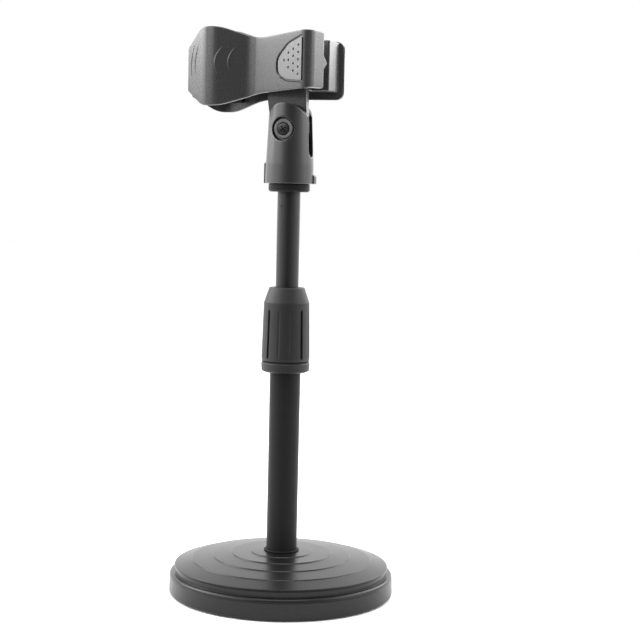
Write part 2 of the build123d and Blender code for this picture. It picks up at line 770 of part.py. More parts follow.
with BuildPart() as spring_arm:
    extrude(leg_section(-1, coil_bottom + coil_pitch * coil_turns + 0.95), amount=leg_length)
save(spring_arm, "spring_arm")

# ---- rubber jaw pads: the jaw's inner facets outside, a round seat inside
pad_half_width = 10.6
pad_bottom = 306.5
pad_height = 41.0
pad_lip = 4.6
tip_slope = (crest[1] - tip[1]) / (crest[0] - tip[0])
back_slope = (waist[1] - crest[1]) / (waist[0] - crest[0])
tip_inset = (arm_wall + 0.02) * (1 + tip_slope**2) ** 0.5
back_inset = (arm_wall + 0.02) * (1 + back_slope**2) ** 0.5
pad_left = seat_x - pad_half_width
pad_right = seat_x + pad_half_width
pad_peak_x = crest[0] + (tip_inset - back_inset) / (tip_slope - back_slope)
pad_back = [
    (pad_left, crest[1] + (pad_left - crest[0]) * tip_slope - tip_inset),
    (pad_peak_x, crest[1] + (pad_peak_x - crest[0]) * tip_slope - tip_inset),
    (pad_right, crest[1] + (pad_right - crest[0]) * back_slope - back_inset),
]
for side, name in ((-1, "moving_jaw_pad"), (1, "fixed_jaw_pad")):
    with BuildPart() as jaw_pad:
        with BuildSketch(Plane.XY.offset(pad_bottom)) as section:
            with BuildLine():
                Polyline((pad_left, side * pad_lip), *[(x, side * y) for x, y in pad_back],
                         (pad_right, side * pad_lip), close=True)
            make_face()
            fillet(section.vertices().sort_by(lambda corner: abs(corner.Y))[-1],
                   near_radii[0] - arm_wall)
            with Locations((seat_x, 0)):
                Circle(seat_radius, mode=Mode.SUBTRACT)
        extrude(amount=pad_height)
    save(jaw_pad, name)
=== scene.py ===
"""Looks of the desktop microphone stand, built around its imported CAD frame.

Metres in Blender.  Shapes are given in millimetres in the stand's own frame: the origin is on the
ground on the pole's axis, +Z is up, the clip's jaws point to -X and its handles to +X.  Mesh
tools solid() and skin() turn them into metres."""

import math

import bmesh
import bpy
import numpy as np
from mathutils import Matrix, Vector


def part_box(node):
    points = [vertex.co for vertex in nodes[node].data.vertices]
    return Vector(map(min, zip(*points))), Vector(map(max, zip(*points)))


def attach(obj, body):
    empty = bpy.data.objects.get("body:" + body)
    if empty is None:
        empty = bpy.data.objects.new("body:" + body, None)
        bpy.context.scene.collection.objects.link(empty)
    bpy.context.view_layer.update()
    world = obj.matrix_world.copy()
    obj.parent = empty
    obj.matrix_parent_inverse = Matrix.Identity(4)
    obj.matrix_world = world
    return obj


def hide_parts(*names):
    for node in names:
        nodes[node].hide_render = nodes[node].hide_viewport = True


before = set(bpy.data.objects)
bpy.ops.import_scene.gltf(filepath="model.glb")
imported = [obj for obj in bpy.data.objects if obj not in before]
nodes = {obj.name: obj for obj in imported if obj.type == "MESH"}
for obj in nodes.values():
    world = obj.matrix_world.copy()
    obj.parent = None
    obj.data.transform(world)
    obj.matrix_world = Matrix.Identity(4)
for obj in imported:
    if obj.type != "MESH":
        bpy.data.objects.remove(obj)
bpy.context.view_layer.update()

MM = 0.001


def box_mm(node):
    """Lowest and highest corner of a CAD node, in millimetres."""
    low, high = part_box(node)
    return low / MM, high / MM


# ---------------------------------------------------------------- camera
CAMERA_AZIMUTH = math.radians(22.5)
CAMERA_DISTANCE = 0.9296
CAMERA_HEIGHT = 0.2491
CAMERA_YAW = math.radians(-1.29)
CAMERA_PITCH = math.radians(4.72)
CAMERA_ROLL = math.radians(1.34)
SENSOR_WIDTH = 36.0
FOCAL_LENGTH = 84.375
CAMERA_SIDE = Vector((math.cos(CAMERA_AZIMUTH), math.sin(CAMERA_AZIMUTH), 0))
CAMERA_AHEAD = Vector((-math.sin(CAMERA_AZIMUTH), math.cos(CAMERA_AZIMUTH), 0))


def make_camera():
    """Long lens level with the clutch, looking a little down on the base."""
    data = bpy.data.cameras.new("camera")
    data.sensor_width = SENSOR_WIDTH
    data.lens = FOCAL_LENGTH
    data.clip_start = 0.01
    data.clip_end = 20.0
    camera = bpy.data.objects.new("camera", data)
    bpy.context.scene.collection.objects.link(camera)
    spot = Vector((0, 0, CAMERA_HEIGHT)) - CAMERA_AHEAD * CAMERA_DISTANCE
    right = CAMERA_SIDE * math.cos(CAMERA_YAW) + CAMERA_AHEAD * math.sin(CAMERA_YAW)
    level = CAMERA_AHEAD * math.cos(CAMERA_YAW) - CAMERA_SIDE * math.sin(CAMERA_YAW)
    upright = Vector((0, 0, 1))
    forward = level * math.cos(CAMERA_PITCH) - upright * math.sin(CAMERA_PITCH)
    above = level * math.sin(CAMERA_PITCH) + upright * math.cos(CAMERA_PITCH)
    rolled_right = right * math.cos(CAMERA_ROLL) + above * math.sin(CAMERA_ROLL)
    rolled_above = above * math.cos(CAMERA_ROLL) - right * math.sin(CAMERA_ROLL)
    turn = Matrix((rolled_right, rolled_above, -forward)).transposed()
    camera.matrix_world = Matrix.Translation(spot) @ turn.to_4x4()
    bpy.context.scene.camera = camera


make_camera()


# ---------------------------------------------------------------- studio
FLOOR_GLOW = 0.04
FLOOR_REACH = 6.0
FLOOR_FRONT = 0.2
FLOOR_PALE = (0.90, 0.94)
WORLD_BACK = 2.35
WORLD_FRONT = 0.05
WORLD_FALL = 0.6
LIGHT_AIM = Vector((0, 0, 0.2))


def make_floor():
    """Wide pale floor that ends a little in front of the stand, on the camera's side."""
    mesh = bpy.data.meshes.new("floor")
    corners = [CAMERA_SIDE * across + CAMERA_AHEAD * along for across, along in (
        (-FLOOR_REACH, -FLOOR_FRONT), (FLOOR_REACH, -FLOOR_FRONT),
        (FLOOR_REACH, FLOOR_REACH), (-FLOOR_REACH, FLOOR_REACH))]
    mesh.from_pydata(corners, [], [(0, 1, 2, 3)])
    floor = bpy.data.objects.new("floor", mesh)
    bpy.context.scene.collection.objects.link(floor)
    material = bpy.data.materials.new("floor_paper")
    material.use_nodes = True
    tree = material.node_tree
    shader = tree.nodes["Principled BSDF"]
    shader.inputs["Roughness"].default_value = 0.9
    shader.inputs["Specular IOR Level"].default_value = 0.1
    noise = tree.nodes.new("ShaderNodeTexNoise")
    noise.inputs["Scale"].default_value = 3.0
    ramp = tree.nodes.new("ShaderNodeMapRange")
    ramp.inputs["To Min"].default_value = FLOOR_PALE[0]
    ramp.inputs["To Max"].default_value = FLOOR_PALE[1]
    tree.links.new(noise.outputs["Fac"], ramp.inputs["Value"])
    tree.links.new(ramp.outputs["Result"], shader.inputs["Base Color"])
    shader.inputs["Emission Color"].default_value = (1, 1, 1, 1)
    shader.inputs["Emission Strength"].default_value = FLOOR_GLOW
    mesh.materials.append(material)


def make_world():
    """Pale surroundings that darken towards the side the camera stands on."""
    world = bpy.data.worlds.new("studio")
    bpy.context.scene.world = world
    world.use_nodes = True
    tree = world.node_tree
    tree.nodes.clear()
    where = tree.nodes.new("ShaderNodeTexCoord")
    towards = tree.nodes.new("ShaderNodeVectorMath")
    towards.operation = "DOT_PRODUCT"
    towards.inputs[1].default_value = -CAMERA_AHEAD
    behind = tree.nodes.new("ShaderNodeMapRange")
    behind.inputs["From Min"].default_value = 1.0
    behind.inputs["From Max"].default_value = -1.0
    rise = tree.nodes.new("ShaderNodeMath")
    rise.operation = "POWER"
    rise.inputs[1].default_value = WORLD_FALL
    shade = tree.nodes.new("ShaderNodeMapRange")
    shade.inputs["To Min"].default_value = WORLD_FRONT
    shade.inputs["To Max"].default_value = WORLD_BACK
    around = tree.nodes.new("ShaderNodeBackground")
    seen = tree.nodes.new("ShaderNodeBackground")
    seen.inputs["Strength"].default_value = 1.0
    seen.inputs["Color"].default_value = (1, 1, 1, 1)
    path = tree.nodes.new("ShaderNodeLightPath")
    mix = tree.nodes.new("ShaderNodeMixShader")
    out = tree.nodes.new("ShaderNodeOutputWorld")
    tree.links.new(where.outputs["Generated"], towards.inputs[0])
    tree.links.new(towards.outputs["Value"], behind.inputs["Value"])
    tree.links.new(behind.outputs["Result"], rise.inputs[0])
    tree.links.new(rise.outputs["Value"], shade.inputs["Value"])
    tree.links.new(shade.outputs["Result"], around.inputs["Strength"])
    tree.links.new(path.outputs["Is Camera Ray"], mix.inputs["Fac"])
    tree.links.new(around.outputs["Background"], mix.inputs[1])
    tree.links.new(seen.outputs["Background"], mix.inputs[2])
    tree.links.new(mix.outputs["Shader"], out.inputs["Surface"])


def soft_box(name, azimuth, elevation, distance, width, height, power):
    """Rectangular studio light that faces the clutch; azimuth 0 is at -Y and 90 at +X."""
    data = bpy.data.lights.new(name, "AREA")
    data.shape = "RECTANGLE"
    data.size = width
    data.size_y = height
    data.energy = power
    light = bpy.data.objects.new(name, data)
    bpy.context.scene.collection.objects.link(light)
    turn, rise = math.radians(azimuth), math.radians(elevation)
    away = Vector((math.sin(turn) * math.cos(rise), -math.cos(turn) * math.cos(rise),
                   math.sin(rise)))
    light.location = LIGHT_AIM + away * distance
    light.rotation_mode = "QUATERNION"
    light.rotation_quaternion = away.to_track_quat("Z", "Y")


make_floor()
make_world()
soft_box("left_soft_box", azimuth=-82, elevation=29, distance=1.15,
         width=0.8, height=0.7, power=13)
soft_box("right_soft_box", azimuth=156, elevation=28, distance=1.15,
         width=0.6, height=0.7, power=6)
soft_box("left_fill", azimuth=-35, elevation=29, distance=1.2, width=0.75, height=0.7, power=6)
soft_box("right_fill", azimuth=105, elevation=28, distance=1.2, width=0.8, height=0.7, power=5)
soft_box("top_soft_box", azimuth=22.5, elevation=68, distance=1.3, width=0.9, height=0.6, power=6)
bpy.context.scene.view_settings.view_transform = "Standard"
bpy.context.scene.view_settings.look = "None"


# ---------------------------------------------------------------- materials
MOTTLE = 0.12
MOTTLE_SCALE = 120.0
GLOSS_SPREAD = 0.05


def surface(slot, colour, roughness, specular, grain, depth, metallic=0.0):
    """Procedural finish: mottled colour, uneven gloss and a fine grain in the bump.
    grain is the size of the grain in millimetres and depth its height."""
    material = bpy.data.materials.new(slot + "_finish")
    material.use_nodes = True
    tree = material.node_tree
    shader = tree.nodes["Principled BSDF"]
    shader.inputs["Metallic"].default_value = metallic
    shader.inputs["Specular IOR Level"].default_value = specular
    where = tree.nodes.new("ShaderNodeTexCoord")

    cloud = tree.nodes.new("ShaderNodeTexNoise")
    cloud.inputs["Scale"].default_value = MOTTLE_SCALE
    cloud.inputs["Detail"].default_value = 4.0
    tree.links.new(where.outputs["Object"], cloud.inputs["Vector"])
    tint = tree.nodes.new("ShaderNodeMix")
    tint.data_type = "RGBA"
    dark = [channel * (1.0 - MOTTLE) for channel in colour]
    light = [channel * (1.0 + MOTTLE) for channel in colour]
    tint.inputs["A"].default_value = (*dark, 1)
    tint.inputs["B"].default_value = (*light, 1)
    tree.links.new(cloud.outputs["Fac"], tint.inputs["Factor"])
    tree.links.new(tint.outputs["Result"], shader.inputs["Base Color"])

    fine = tree.nodes.new("ShaderNodeTexNoise")
    fine.inputs["Scale"].default_value = 1.0 / (grain * MM)
    fine.inputs["Detail"].default_value = 3.0
    fine.inputs["Roughness"].default_value = 0.55
    tree.links.new(where.outputs["Object"], fine.inputs["Vector"])
    gloss = tree.nodes.new("ShaderNodeMapRange")
    gloss.inputs["From Min"].default_value = 0.3
    gloss.inputs["From Max"].default_value = 0.7
    gloss.inputs["To Min"].default_value = roughness - GLOSS_SPREAD
    gloss.inputs["To Max"].default_value = roughness + GLOSS_SPREAD
    tree.links.new(fine.outputs["Fac"], gloss.inputs["Value"])
    tree.links.new(gloss.outputs["Result"], shader.inputs["Roughness"])

    bump = tree.nodes.new("ShaderNodeBump")
    bump.inputs["Strength"].default_value = 1.0
    bump.inputs["Distance"].default_value = depth * MM
    tree.links.new(fine.outputs["Fac"], bump.inputs["Height"])
    tree.links.new(bump.outputs["Normal"], shader.inputs["Normal"])
    return material


def grey(value):
    """Neutral colour of one brightness."""
    return (value, value, value)


FINISH = {
    "base_paint": surface("base_paint", grey(0.0045), 0.31, 0.30, 0.5, 0.012),
    "iron": surface("iron", grey(0.10), 0.65, 0.4, 1.5, 0.10),
    "steel_plate": surface("steel_plate", (0.42, 0.42, 0.43), 0.35, 0.5, 0.8, 0.02, 1.0),
    "pole_paint": surface("pole_paint", grey(0.014), 0.42, 0.10, 0.35, 0.02),
    "upper_paint": surface("upper_paint", grey(0.008), 0.34, 0.5, 0.35, 0.012),
    "black_steel": surface("black_steel", grey(0.006), 0.30, 0.4, 0.4, 0.006),
    "zinc_steel": surface("zinc_steel", (0.55, 0.55, 0.56), 0.3, 0.5, 0.6, 0.01, 1.0),
    "grip_plastic": surface("grip_plastic", grey(0.013), 0.50, 0.35, 0.4, 0.02),
    "clip_plastic": surface("clip_plastic", grey(0.032), 0.27, 0.6, 0.45, 0.012),
    "fork_plastic": surface("fork_plastic", grey(0.006), 0.36, 0.9, 0.45, 0.012),
    "pad_plastic": surface("pad_plastic", grey(0.055), 0.30, 1.0, 0.5, 0.014),
    "nylon": surface("nylon", (0.5, 0.49, 0.45), 0.5, 0.4, 1.0, 0.02),
    "brass": surface("brass", (0.70, 0.50, 0.22), 0.3, 0.5, 0.8, 0.01, 1.0),
    "rubber": surface("rubber", grey(0.007), 0.6, 0.15, 0.6, 0.03),
    "spring_steel": surface("spring_steel", (0.5, 0.5, 0.52), 0.25, 0.5, 0.5, 0.005, 1.0),
}
NODE_SLOT = {name: obj.data.materials[0].name for name, obj in nodes.items()}
for name, node in nodes.items():
    node.data.materials[0] = FINISH[NODE_SLOT[name]]


# ---------------------------------------------------------------- mesh tools
WELD = 0.002 * MM
LEVEL = Matrix.Identity(4)


def rounded_line(points, radii, step=0.4, closed=False):
    """Points along a line whose corners are arcs, at most about step apart, in order."""
    count = len(points)
    points = [Vector(p) for p in points]
    inner = range(count) if closed else range(1, count - 1)
    radii = dict(zip(inner, radii))
    out = []
    for index, point in enumerate(points):
        if not radii.get(index):
            out.append(point)
            continue
        back = (points[index - 1] - point).normalized()
        ahead = (points[(index + 1) % count] - point).normalized()
        half = back.angle(ahead) / 2
        reach = radii[index] / math.tan(half)
        start, end = point + back * reach, point + ahead * reach
        centre = point + (back + ahead).normalized() * (radii[index] / math.sin(half))
        first, last = start - centre, end - centre
        sweep = first.angle(last)
        pieces = max(3, math.ceil(sweep * radii[index] / step), math.ceil(sweep / 0.2))
        for piece in range(pieces + 1):
            share = piece / pieces
            mix = (first * math.sin((1 - share) * sweep) + last * math.sin(share * sweep))
            out.append(centre + mix / math.sin(sweep))
    dense = []
    pairs = zip(out, out[1:] + out[:1]) if closed else zip(out, out[1:])
    for a, b in pairs:
        parts = max(1, math.ceil((b - a).length / step))
        dense += [a.lerp(b, part / parts) for part in range(parts)]
    if not closed:
        dense.append(out[-1])
    return dense


def rounded_outline(points, radii, step, closed=False):
    """The same for flat (x, y) points."""
    line = rounded_line([(*p, 0) for p in points], radii, step, closed)
    return [p.to_2d() for p in line]


def place(origin, across, up):
    """Frame with its first axis along across and its second along up, in millimetres."""
    across, up = Vector(across).normalized(), Vector(up).normalized()
    turn = Matrix((across, up, across.cross(up))).transposed()
    return Matrix.Translation(Vector(origin)) @ turn.to_4x4()


def solid(vertices, faces, where=LEVEL):
    """Mesh object from vertices in millimetres in the frame given by where."""
    mesh = bpy.data.meshes.new("solid")
    mesh.from_pydata([(where @ Vector(v)) * MM for v in vertices], [], faces)
    work = bmesh.new()
    work.from_mesh(mesh)
    bmesh.ops.remove_doubles(work, verts=work.verts, dist=WELD)
    bmesh.ops.recalc_face_normals(work, faces=work.faces)
    work.to_mesh(mesh)
    work.free()
    piece = bpy.data.objects.new("solid", mesh)
    bpy.context.scene.collection.objects.link(piece)
    return piece


def skin(loops, where=LEVEL):
    """Closed solid through loops with the same number of points, capped at both ends."""
    count = len(loops[0])
    vertices = [point for loop in loops for point in loop]
    faces = [tuple(range(count)), tuple(range(len(vertices) - count, len(vertices)))]
    for step in range(len(loops) - 1):
        here, following = step * count, (step + 1) * count
        for index in range(count):
            after = (index + 1) % count
            faces.append((here + index, here + after, following + after, following + index))
    return solid(vertices, faces, where)


def drawn_in(outline, inset):
    """Closed outline, counter-clockwise, moved inwards by inset."""
    out = []
    for index, point in enumerate(outline):
        back = (point - outline[index - 1]).normalized()
        ahead = (outline[(index + 1) % len(outline)] - point).normalized()
        normal = (Vector((-back.y, back.x)) + Vector((-ahead.y, ahead.x))).normalized()
        spread = max(0.5, normal.dot(Vector((-ahead.y, ahead.x))))
        out.append(point + normal * (inset / spread))
    return out


def rounded_levels(low, high, rim, steps=3):
    """Heights and insets of a prism from low to high with rounded rims."""
    levels = []
    for step in range(steps + 1):
        turn = math.pi / 2 * step / steps
        levels.append((low + rim * (1 - math.cos(turn)), rim * (1 - math.sin(turn))))
    return levels + [(low + high - height, inset) for height, inset in reversed(levels)]


def stack(corners, radii, levels, where=LEVEL, step=0.6):
    """Solid whose sections are one rounded outline, drawn in by each level's inset."""
    outline = rounded_outline(corners, radii, step, True)
    area = sum(a.cross(b) for a, b in zip(outline, outline[1:] + outline[:1]))
    if area < 0:
        outline.reverse()
    loops = [[(*p, height) for p in drawn_in(outline, inset)] for height, inset in levels]
    return skin(loops, where)


def wrapped(loops, where=LEVEL):
    """Ring-shaped solid through closed loops, the last of which joins the first."""
    count = len(loops[0])
    vertices = [point for loop in loops for point in loop]
    faces = []
    for step in range(len(loops)):
        here, following = step * count, (step + 1) % len(loops) * count
        for index in range(count):
            after = (index + 1) % count
            faces.append((here + index, following + index, following + after, here + after))
    return solid(vertices, faces, where)


def turned(profile, where=LEVEL, steps=128):
    """Solid from a closed profile of (radius, height) points turned about the frame's axis."""
    turns = [2 * math.pi * step / steps for step in range(steps)]
    return wrapped([[(r * math.cos(turn), r * math.sin(turn), z) for r, z in profile]
                    for turn in turns], where)


def disc(radius, low, high, where=LEVEL, steps=96):
    """Plain round tool for cutting, from low to high along the frame's axis."""
    ring = [(radius * math.cos(2 * math.pi * k / steps), radius * math.sin(2 * math.pi * k / steps))
            for k in range(steps)]
    return skin([[(*p, height) for p in ring] for height in (low, high)], where)


def settle(piece):
    """Apply a piece's modifiers to its mesh."""
    depsgraph = bpy.context.evaluated_depsgraph_get()
    mesh = bpy.data.meshes.new_from_object(piece.evaluated_get(depsgraph))
    piece.modifiers.clear()
    piece.data = mesh
    return piece


def combine(piece, tools, operation):
    """Join tools to a piece (UNION), cut them out (DIFFERENCE) or keep what is in both."""
    for tool in tools:
        change = piece.modifiers.new("change", "BOOLEAN")
        change.operation = operation
        change.solver = "MANIFOLD"
        change.object = tool
    settle(piece)
    for tool in tools:
        bpy.data.objects.remove(tool)
    return piece


def dress(piece, name, slot, body, stands_for=(), sharp=40.0):
    """Name a piece, smooth it, give it its finish and put it on its body."""
    piece.name = name
    mesh = piece.data
    work = bmesh.new()
    work.from_mesh(mesh)
    bmesh.ops.remove_doubles(work, verts=work.verts, dist=WELD)
    bmesh.ops.dissolve_degenerate(work, edges=work.edges, dist=WELD)
    bmesh.ops.recalc_face_normals(work, faces=work.faces)
    for edge in work.edges:
        edge.smooth = len(edge.link_faces) == 2 and edge.calc_face_angle() < math.radians(sharp)
    for face in work.faces:
        face.smooth = True
    work.to_mesh(mesh)
    work.free()
    mesh.materials.clear()
    mesh.materials.append(FINISH[slot])
    even = piece.modifiers.new("even_shading", "WEIGHTED_NORMAL")
    even.keep_sharp = True
    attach(piece, body)
    if stands_for:
        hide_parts(*stands_for)
    return piece


# ---------------------------------------------------------------- base cover and collar
BASE_RADIUS = box_mm("base_cover")[1].x
COVER_FOOT = box_mm("base_cover")[0].z
CROWN = box_mm("base_cover")[1].z
COVER_WALL = 2.0
FOOT_ROLL = 0.9
BEAD_BOTTOM, BEAD_TOP = 11.4, 13.6
BEAD_ROUND = 2.0
GROOVE_HEIGHT, GROOVE_DEPTH = 11.2, 0.4
RISER_RADIUS, RISER_TOP = 66.4, 17.0
LIP_RADIUS, LIP_HEIGHT = 66.9, 17.4
PLATE_EDGE = (66.75, 18.4)
RINGS = [(19.0, 26.5), (31.0, 25.6), (43.0, 23.9), (56.0, 21.7)]
RING_STEP = 0.55
TUBE_RADIUS = box_mm("lower_tube")[1].x
TUBE_TOP = box_mm("lower_tube")[1].z


def make_base_cover():
    """Pressed cover: rolled foot, bead, riser, lipped plate and four stepped rings."""
    hole = box_mm("pole_collar")[1].x - 0.9
    bead_radius = BASE_RADIUS - 0.1
    outer = [(BASE_RADIUS - FOOT_ROLL, COVER_FOOT), (BASE_RADIUS, COVER_FOOT + FOOT_ROLL),
             (bead_radius, GROOVE_HEIGHT - 0.2), (BASE_RADIUS - GROOVE_DEPTH, GROOVE_HEIGHT),
             (bead_radius, BEAD_BOTTOM), (bead_radius, BEAD_TOP), (RISER_RADIUS, BEAD_TOP + 0.1),
             (RISER_RADIUS, RISER_TOP), (LIP_RADIUS, LIP_HEIGHT), PLATE_EDGE]
    radii = [0.6, 0.1, 0.1, 0.1, BEAD_ROUND, 0.3, 0.2, 0.25, 0.6]
    for radius, height in reversed(RINGS):
        outer += [(radius + 0.35, height - RING_STEP), (radius - 0.1, height)]
        radii += [0.25, 0.5]
    outer += [(hole, CROWN)]
    last_ring, last_height = RINGS[-1]
    inner = [(hole, CROWN - COVER_WALL), (last_ring, last_height - COVER_WALL - 0.9),
             (RISER_RADIUS - COVER_WALL - 0.3, PLATE_EDGE[1] - COVER_WALL - 0.8),
             (RISER_RADIUS - COVER_WALL - 0.3, BEAD_TOP - 1.0),
             (BASE_RADIUS - COVER_WALL, BEAD_TOP - 1.0 - COVER_WALL - 0.1),
             (BASE_RADIUS - COVER_WALL, COVER_FOOT)]
    cover = turned(rounded_outline(outer, radii, 2.0) + inner, steps=320)
    dress(cover, "base_cover_shell", "base_paint", "base", ["base_cover"], 60.0)


def make_pole_collar():
    """Soft collar with a rounded shoulder round the foot of the pole."""
    low, high = box_mm("pole_collar")
    bore = TUBE_RADIUS + 0.02
    spigot = high.x - 0.95
    outer = [(spigot, low.z), (spigot, CROWN), (high.x, CROWN + 0.02), (high.x, high.z),
             (bore, high.z)]
    profile = rounded_outline(outer, [0, 0.2, 0.55], 1.0) + [(bore, low.z)]
    dress(turned(profile), "pole_collar_soft", "rubber", "base", ["pole_collar"])


make_base_cover()
make_pole_collar()


# ---------------------------------------------------------------- twist clutch
RING_TOP = box_mm("clutch_washer")[0].z
SLEEVE_RADIUS = 10.7
TUBE_WALL = 1.2
CLEAR_LENGTH = 10.0


def make_clutch_ring():
    """Fixed ring and thread sleeve below the grip, with rounded rims."""
    low, high = box_mm("clutch_body")
    ring = high.x
    outer = [(TUBE_RADIUS, low.z), (ring - 2.2, low.z), (ring - 0.3, low.z + 0.9),
             (ring, RING_TOP - 0.6), (ring - 0.6, RING_TOP), (SLEEVE_RADIUS, RING_TOP),
             (SLEEVE_RADIUS, high.z - 0.8), (SLEEVE_RADIUS - 0.9, high.z)]
    radii = [0.5, 0.5, 0.3, 0.3, 0.1, 0.3]
    seat = TUBE_RADIUS - TUBE_WALL
    inner = [(SLEEVE_RADIUS - 1.0, high.z), (seat, TUBE_TOP + CLEAR_LENGTH), (seat, TUBE_TOP),
             (TUBE_RADIUS, TUBE_TOP)]
    profile = rounded_outline(outer, radii, 3.0) + inner
    dress(turned(profile), "clutch_ring", "grip_plastic", "base", ["clutch_body"])


GRIP_FOOT, GRIP_SHOULDER, GRIP_MOUTH, GRIP_BORE = 14.95, 14.1, 10.9, 7.55
CONE_FOOT = 182.8
GRIP_CEILING, GRIP_THROAT = 182.5, 9.2
THREAD_TOP, THREAD_RADIUS = 174.5, 11.05
GRIP_ANGLE = 64.0
GRIP_GROOVES = 4
DEEP_GROOVE = (0.62, 1.5, 0.0)
SHALLOW_GROOVE = (0.5, 0.2, 0.5)
FULL_TURN = 2 * math.pi


def sunk_by(turn, height, grooves, start, end):
    """Depth of the grooves at one place on the grip's barrel."""
    sunk = 0.0
    for angle, (half, depth, trim) in grooves:
        aside = abs((turn - angle + math.pi) % FULL_TURN - math.pi) * GRIP_FOOT
        beyond = max(start + half + trim - height, height - end + half + trim, 0.0)
        away = math.hypot(aside, beyond) / half
        sunk = max(sunk, depth * min(1.0, max(0.0, (1.35 - away) / 0.6)))
    return sunk


def make_clutch_grip():
    """Turning grip: flared barrel with long rounded grooves under a conical shoulder.
    Each groove has a half width, a depth and how much shorter it is at each end."""
    low, high = box_mm("clutch_nut")
    outer = [(GRIP_FOOT - 1.2, low.z), (GRIP_FOOT - 0.25, low.z), (GRIP_FOOT, low.z + 1.6),
             (GRIP_SHOULDER, CONE_FOOT), (GRIP_MOUTH, high.z), (GRIP_BORE, high.z)]
    section = rounded_outline(outer, [0.5, 1.0, 1.6, 0.9], 0.7)
    section += [(GRIP_BORE, GRIP_CEILING), (GRIP_THROAT, GRIP_CEILING),
                (THREAD_RADIUS, THREAD_TOP), (THREAD_RADIUS, low.z)]
    start, end = low.z + 1.9, CONE_FOOT - 4.4
    grooves = []
    for index in range(GRIP_GROOVES * 3):
        angle = math.radians(GRIP_ANGLE + index * 120.0 / GRIP_GROOVES)
        grooves.append((angle, DEEP_GROOVE if index % 3 == 0 else SHALLOW_GROOVE))
    turns = set(np.linspace(0, FULL_TURN, 120, endpoint=False))
    for angle, (half, _, _) in grooves:
        turns.update(angle + share * half * 1.5 / GRIP_FOOT for share in np.linspace(-1, 1, 13))
    loops = []
    for turn in sorted(turn % FULL_TURN for turn in turns):
        loop = []
        for radius, height in section:
            if radius > GRIP_SHOULDER - 0.6:
                radius -= sunk_by(turn, height, grooves, start, end)
            loop.append((radius * math.cos(turn), radius * math.sin(turn), height))
        loops.append(loop)
    dress(wrapped(loops), "clutch_grip", "grip_plastic", "grip", ["clutch_nut"], 50.0)


make_clutch_ring()
make_clutch_grip()


# ---------------------------------------------------------------- adapter, fork and tilt screw
SCREW_HEIGHT = 289.4
FORK_FOOT = box_mm("fork")[0].z
FORK_TOP = box_mm("fork")[1].z
SCREW_FRAME = place((0, 0, SCREW_HEIGHT), (1, 0, 0), (0, 0, 1))
HEAD_SEAT = 10.0
ARCH_HEIGHT = SCREW_HEIGHT + 1.7
STUD_RADIUS, SPIGOT_RADIUS, ADAPTER_BORE = 7.9, 6.1, 3.0
FORK_FOOT_RADIUS, FORK_TOP_RADIUS = 14.8, 13.0
FORK_STOPS = [(-16.6, 12.8, 3.2, 0), (15.6, 5.6, 4.2, 4.1)]
STOP_ROUND = 0.9
SLOT_BOTTOM, SLOT_HALF, SLOT_HEIGHT = 272.6, 3.1, 50
SCREW_HOLE = 2.1
SEAT_RADIUS = 7.2
NUT_SIZE = 4.15
PAST = 30
FORK_GRID = 0.28
HEAD_RADIUS, HEAD_HEIGHT, SHANK_RADIUS = 3.8, 1.9, 2.0
CROSS_TURN = math.radians(35)
CROSS_REACH, CROSS_HALF, CROSS_DEPTH = 2.3, 0.45, 1.2
SEAT_RING_RADIUS, SEAT_RING_HEIGHT = 6.1, 1.4


def make_adapter():
    """Flange between pole and fork, with its spigot and its stud."""
    low, high = box_mm("stud_adapter")
    flange = high.x
    under = box_mm("upper_tube")[1].z
    outer = [(ADAPTER_BORE, low.z), (SPIGOT_RADIUS, low.z), (SPIGOT_RADIUS, under),
             (flange - 1.0, under), (flange, under + 1.0), (flange, FORK_FOOT - 0.1),
             (STUD_RADIUS, FORK_FOOT - 0.05), (STUD_RADIUS, high.z - 0.8),
             (STUD_RADIUS - 0.8, high.z), (ADAPTER_BORE, high.z)]
    profile = rounded_outline(outer, [0, 0.1, 0.7, 0.9, 0.5, 0.1, 0.3, 0.3], 4.0)
    dress(turned(profile), "fork_adapter", "pole_paint", "pole", ["stud_adapter"])


